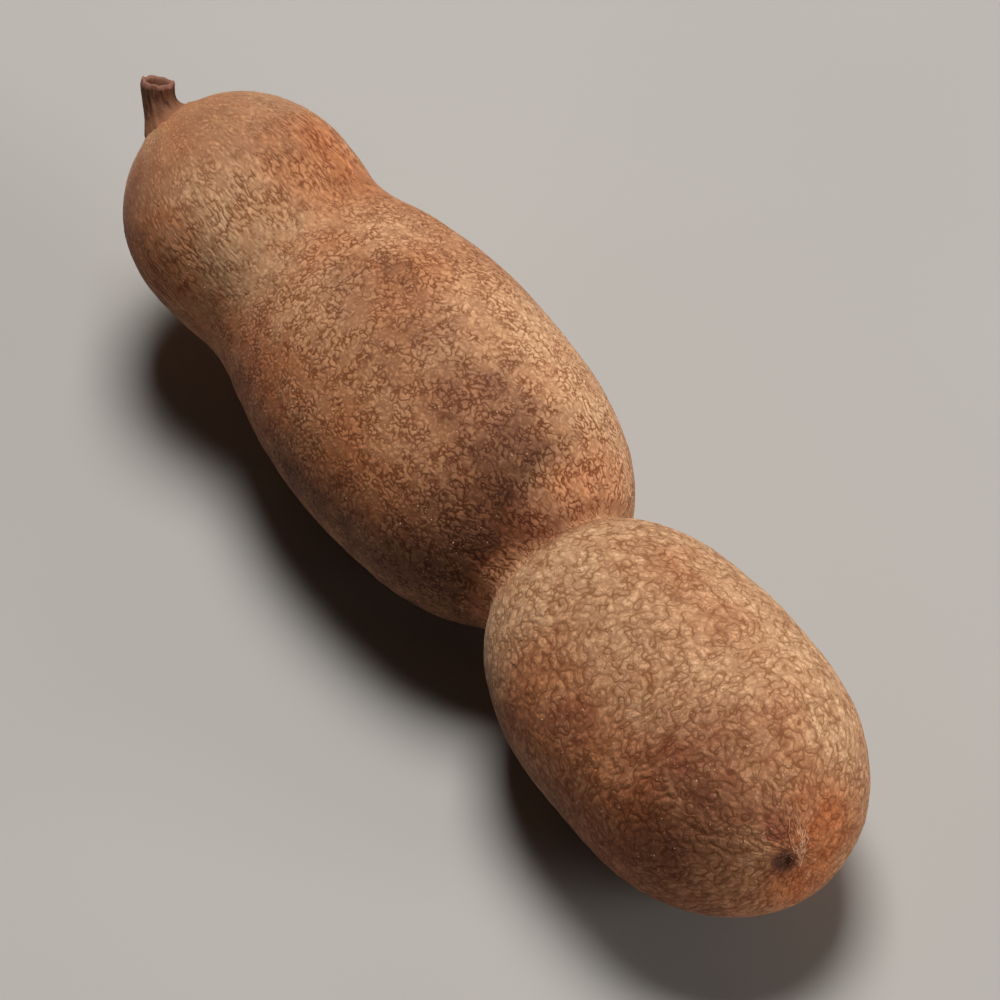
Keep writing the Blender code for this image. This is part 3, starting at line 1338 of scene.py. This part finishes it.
@dataclass
class TipFibres:
    """Pale torn fibres of the flower's style that lie on the tip and run into the scar."""

    form: ShellForm
    count: int = 24
    points: int = 20
    sides: int = 5
    seed: int = 4
    inner: float = 0.35 * MM
    shortest: float = 1.0 * MM
    longest: float = 5.6 * MM
    thickness: float = 0.05 * MM
    lift: float = 0.02 * MM
    towards: float = math.radians(76)
    fan: float = math.radians(24)
    root: tuple[float, float, float] = (0.1 * MM, 1.05 * MM, -1.0 * MM)
    core_depth: float = 9 * MM

    def build(self, shell: Object) -> Object:
        """Makes the fibres: wavy strands, laid on the shell's surface.

        Args:
            shell: The finished shell that they lie on.

        Returns:
            The fibres as one piece.
        """
        graph = GeometryGraph("tip_fibre_strands")
        line = graph.add("GeometryNodeCurvePrimitiveLine", {})
        resampling = {"Curve": line, "Count": graph.size("points", self.points)}
        line = graph.add("GeometryNodeResampleCurve", resampling, mode="COUNT")
        count = {"Geometry": line, "Amount": graph.size("count", self.count)}
        strands = graph.add("GeometryNodeDuplicateElements", count, domain="SPLINE")
        index = Signal(graph, strands.socket.node.outputs["Duplicate Index"])
        along = graph.add("GeometryNodeSplineParameter", {}, "Factor")
        reach = graph.chance(index, self.shortest, self.longest, self.seed)
        turn = self.towards + graph.chance(index, -self.fan, self.fan, self.seed + 1)
        start = graph.chance(index, 0.2, 1.0, self.seed + 2) * graph.size("inner", self.inner)
        spot = graph.vector(index * 7.0, along * 1.6, 0.0)
        waver = graph.add("ShaderNodeTexNoise", {"Vector": spot, "Scale": 1.0}) - 0.5
        away = start + reach * along
        angle = turn + waver * 0.6
        _, level, upward = self.form.axes(self.form.length)
        side, rise = away * cosine(angle), away * sine(angle)
        origin = (scar + offset for scar, offset in zip(self.form.scar(), self.root))
        place = graph.vector(*(c + side * a + rise * b for c, a, b in zip(origin, level, upward)))
        nearest = {0: graph.geometry(), "Source Position": place}
        on_skin = graph.add("GeometryNodeProximity", nearest, "Position", target_element="FACES")
        core = graph.vector(*self.form.spine(self.form.length - self.core_depth))
        outward = (on_skin - core).join("NORMALIZE", on_skin - core)
        moved = graph.place(strands, Position=on_skin + outward * graph.size("lift", self.lift))
        radius = graph.size("thickness", self.thickness) * along.ramp(1.0, 0.3, 0.3, 1.0)
        around = {"Resolution": self.sides, "Radius": 1.0}
        ring = graph.add("GeometryNodeCurvePrimitiveCircle", around)
        tube = {"Curve": moved, "Profile Curve": ring, "Scale": radius, "Fill Caps": True}
        mesh = graph.add("GeometryNodeCurveToMesh", tube)
        fibres = graph.make("tip_fibres", mesh, TORN_FIBRE.make(), shell.data)
        return on_root(fibres, "pod")


@dataclass
class ScurfGrains:
    """Fine dry grains of scurf that stand a little proud of the shell."""

    count_per_mm2: float = 0.55
    seed: int = 11
    smallest: float = 0.035 * MM
    largest: float = 0.085 * MM
    slenderness: tuple[float, float] = (0.6, 1.6)
    flatness: float = 0.5
    clearance: float = 0.6 * MM

    def build(self, shell: Object) -> Object:
        """Scatters the grains.

        Args:
            shell: The finished shell that they stand on.

        Returns:
            The grains as one piece.
        """
        graph = GeometryGraph("scurf_grain_scatter")
        _, _, height = graph.add("GeometryNodeInputPosition", {}).parts()
        scatter = {
            "Mesh": graph.geometry(),
            "Selection": exceeds(height, graph.size("clearance", self.clearance)),
            "Density": graph.size("count per area", self.count_per_mm2 / MM**2),
            "Seed": self.seed,
        }
        points = graph.add("GeometryNodeDistributePointsOnFaces", scatter, "Points")
        turned = Signal(graph, points.socket.node.outputs["Rotation"])
        grain = graph.add("GeometryNodeMeshIcoSphere", {"Radius": 1.0, "Subdivisions": 1})
        index = graph.add("GeometryNodeInputIndex", {})
        width = graph.chance(index, self.smallest, self.largest, self.seed + 1)
        slender = graph.chance(index, *self.slenderness, self.seed + 2)
        scale = graph.vector(width, width * slender, width * self.flatness)
        instances = {"Points": points, "Instance": grain, "Rotation": turned, "Scale": scale}
        grains = graph.add("GeometryNodeInstanceOnPoints", instances)
        made = graph.make("scurf_grains", grains, SCURF_GRAIN.make(), shell.data)
        return on_root(made, "pod")


# --- The studio ---


@dataclass(frozen=True)
class Lamp:
    """A soft lamp that shines on the pod: a square box, or a far one where it has no distance."""

    name: str
    towards: tuple[float, float, float]
    strength: float
    spread: float
    away: float = 0.0
    colour: Colour = (1.0, 0.98, 0.95)

    def build(self, centre: Vector) -> None:
        """Hangs the lamp.

        Args:
            centre: What it shines on.
        """
        data = bpy.data.lights.new(self.name, "AREA" if self.away else "SUN")
        data.energy = self.strength
        data.color = self.colour
        direction = Vector(self.towards).normalized()
        lamp = placed(self.name, data)
        lamp.location = centre + direction * self.away
        lamp.rotation_euler = direction.to_track_quat("Z", "Y").to_euler()
        if self.away:
            data.size = self.spread
        else:
            data.angle = self.spread


KEY_SIDE = (-0.31, 0.25, 0.92)


@dataclass
class Studio:
    """A pale floor, soft light from the +Y side, and a camera that looks down along the pod."""

    azimuth: float = math.radians(54.5)
    elevation: float = math.radians(55)
    distance: float = 0.75
    field: float = 72.8 * MM
    aim: tuple[float, float] = (0.71 * MM, -1.18 * MM)
    sensor: float = 36.0
    clip: tuple[float, float] = (0.01, 50.0)
    floor_radius: float = 1.8
    rim_radius: float = 2.6
    rim_height: float = 0.2
    sky: Colour = (1.0, 0.90, 0.80)
    sky_strength: float = 0.02
    lamps: tuple[Lamp, ...] = (
        Lamp("key", KEY_SIDE, strength=3.8, spread=0.30, away=0.70),
        Lamp("rim", (0.84, 0.50, 0.24), strength=2.8, spread=0.30, away=0.80),
        Lamp("wash", KEY_SIDE, strength=1.0, spread=math.radians(24)),
    )

    def build(self) -> None:
        """Sets up the floor, the lights and the camera."""
        low, high = CAD_BOX
        centre = (low + high) / 2
        self.lay_floor()
        for lamp in self.lamps:
            lamp.build(centre)
        world = bpy.data.worlds.new("studio")
        world.use_nodes = True
        background = world.node_tree.nodes["Background"]
        background.inputs["Color"].default_value = (*self.sky, 1.0)
        background.inputs["Strength"].default_value = self.sky_strength
        bpy.context.scene.world = world
        bpy.context.scene.view_settings.view_transform = "Standard"
        self.place_camera(centre)

    def lay_floor(self) -> None:
        """Lays the floor: a broad disc on the resting surface, turned up at its far rim."""
        mesh = bmesh.new()
        bmesh.ops.create_circle(mesh, cap_ends=True, segments=96, radius=self.floor_radius)
        rim = [edge for edge in mesh.edges if edge.is_boundary]
        turned = bmesh.ops.extrude_edge_only(mesh, edges=rim)["geom"]
        for vertex in (item for item in turned if isinstance(item, BMVert)):
            vertex.co *= self.rim_radius / self.floor_radius
            vertex.co.z = self.rim_height
        solid("floor", mesh, STUDIO_FLOOR.make())

    def place_camera(self, centre: Vector) -> None:
        """Places the camera and makes it the scene's own.

        Args:
            centre: The middle of the pod.
        """
        ahead = Vector((-math.sin(self.azimuth), math.cos(self.azimuth), 0.0))
        ahead = ahead * math.cos(self.elevation) - Vector((0.0, 0.0, math.sin(self.elevation)))
        right = Vector((math.cos(self.azimuth), math.sin(self.azimuth), 0.0))
        target = centre + right * self.aim[0] + right.cross(ahead) * self.aim[1]
        data = bpy.data.cameras.new("camera")
        data.sensor_width = self.sensor
        data.lens = self.sensor * self.distance / self.field
        data.clip_start, data.clip_end = self.clip
        camera = placed("camera", data)
        camera.location = target - ahead * self.distance
        camera.rotation_euler = ahead.to_track_quat("-Z", "Y").to_euler()
        bpy.context.scene.camera = camera


def main() -> None:
    """Builds every piece in order and sets up the studio."""
    logging.basicConfig(level=logging.INFO, format="%(message)s")
    low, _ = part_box("pod")
    form = ShellForm().seated(low)
    Studio().build()
    shell = PodShell(form).build()
    StalkStub(form).build()
    TipFibres(form).build(shell)
    ScurfGrains().build(shell)


if __name__ == "__main__":
    main()
